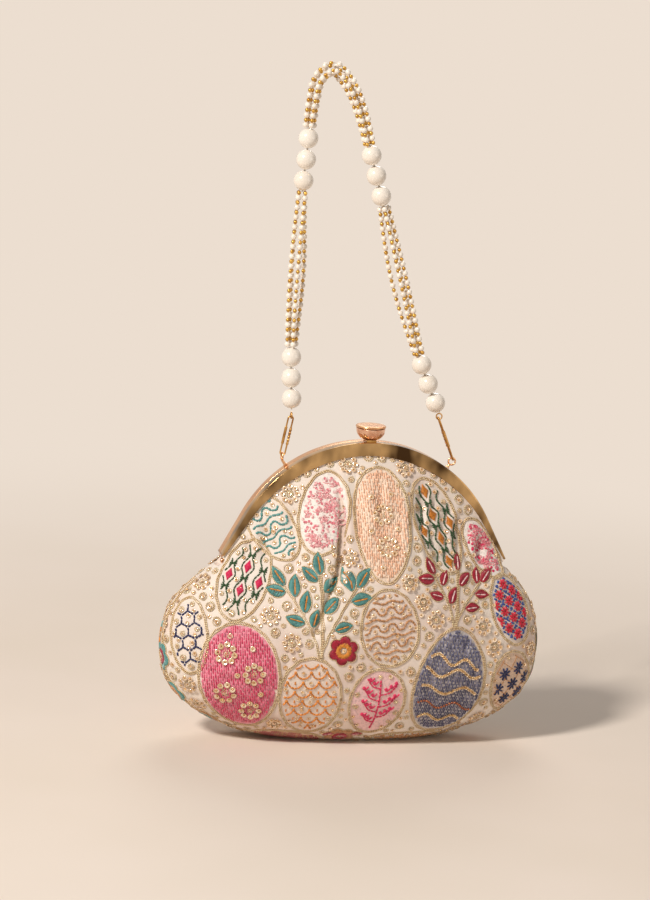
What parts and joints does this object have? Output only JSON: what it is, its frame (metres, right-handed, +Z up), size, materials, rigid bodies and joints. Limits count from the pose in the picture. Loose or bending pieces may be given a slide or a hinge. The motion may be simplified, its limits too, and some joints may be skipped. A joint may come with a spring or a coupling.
{
  "type": "sequin clutch",
  "caption": "Padded embroidered evening clutch on a hinged arched metal frame with a round catch knob and a raised pearl and bead strand handle on clip hooks",
  "frame": {"origin": "under the middle of the pouch's base, on the surface that it touches", "axes": "+Z up towards the handle, +X to the right seen from the front, front faces -Y"},
  "size_m": [0.227, 0.084, 0.4076],
  "materials": {
    "mirror_brass": "mirror polished plated band with warm dark reflections",
    "rose_gold": "polished rose gold plate",
    "clip_gold": "polished yellow gold plate",
    "embroidered_cloth": "blush satin ground covered with cord, silk, sequin and bead embroidery",
    "lining_cloth": "plain satin",
    "pearl": "pearl lacquer",
    "thread": "twisted beading thread",
    "beads": "pearl and gold seed beads"
  },
  "bodies": {
    "handle": {"jump_ring_left": "clip_gold", "jump_ring_right": "clip_gold", "pearl_01": "pearl", "pearl_02": "pearl", "pearl_03": "pearl", "pearl_04": "pearl", "pearl_05": "pearl", "pearl_06": "pearl", "pearl_07": "pearl", "pearl_08": "pearl", "pearl_09": "pearl", "pearl_10": "pearl", "pearl_11": "pearl", "pearl_12": "pearl", "pearl_thread_1": "thread", "pearl_thread_2": "thread", "pearl_thread_3": "thread", "pearl_thread_4": "thread", "bead_strand_1_1": "beads", "bead_strand_1_2": "beads", "bead_strand_1_3": "beads", "bead_strand_1_4": "beads", "bead_strand_2_1": "beads", "bead_strand_2_2": "beads", "bead_strand_2_3": "beads", "bead_strand_2_4": "beads", "bead_strand_3_1": "beads", "bead_strand_3_2": "beads", "bead_strand_3_3": "beads", "bead_strand_3_4": "beads"},
    "clip_left": {"hook_left": "clip_gold"},
    "clip_gate_left": {"gate_left": "clip_gold"},
    "clip_right": {"hook_right": "clip_gold"},
    "clip_gate_right": {"gate_right": "clip_gold"},
    "bag": {"back_jaw": "rose_gold", "hinge_rivet_left": "rose_gold", "hinge_rivet_right": "rose_gold", "eyelet_left": "rose_gold", "eyelet_right": "rose_gold", "front_panel": "embroidered_cloth", "back_panel": "embroidered_cloth", "lining": "lining_cloth"},
    "opening_jaw": {"front_jaw": "mirror_brass"},
    "clasp": {"clasp_knob_cup": "rose_gold", "clasp_knob_cap": "rose_gold", "clasp_stem": "clip_gold", "catch_tongue": "clip_gold"}
  },
  "joints": [
    {"name": "clip_left_swing", "type": "hinge", "parent": "handle", "child": "clip_left", "pos_m": [-0.0487, 0.0036, 0.1955], "axis": [1, 0, 0], "range_deg": [-20, 20]},
    {"name": "clip_right_swing", "type": "hinge", "parent": "handle", "child": "clip_right", "pos_m": [0.043, 0.0036, 0.1955], "axis": [1, 0, 0], "range_deg": [-20, 20]},
    {"name": "bag_swing", "type": "hinge", "parent": "clip_left", "child": "bag", "pos_m": [-0.0529, 0.0036, 0.172], "axis": [1, 0, 0], "range_deg": [-70, 70]},
    {"name": "jaw_open", "type": "hinge", "parent": "bag", "child": "opening_jaw", "pos_m": [0, 0, 0.10758], "axis": [1, 0, 0], "range_deg": [0, 75], "deforming": ["front_panel", "lining"]},
    {"name": "catch_lift", "type": "slide", "parent": "bag", "child": "clasp", "axis": [0, 0, 1], "range_m": [0, 0.0018], "stiffness_N_per_m": 150, "springref_m": -0.002},
    {"name": "gate_left_slide", "type": "slide", "parent": "clip_left", "child": "clip_gate_left", "axis": [0.1759, 0, 0.9844], "range_m": [0, 0.0042], "stiffness_N_per_m": 4, "springref_m": -0.002},
    {"name": "gate_right_slide", "type": "slide", "parent": "clip_right", "child": "clip_gate_right", "axis": [-0.3882, 0, 0.9216], "range_m": [0, 0.0042], "stiffness_N_per_m": 4, "springref_m": -0.002}
  ],
  "couplings": [
    {"joint": "clip_right_swing", "follows": "clip_left_swing", "ratio": 1}
  ]
}
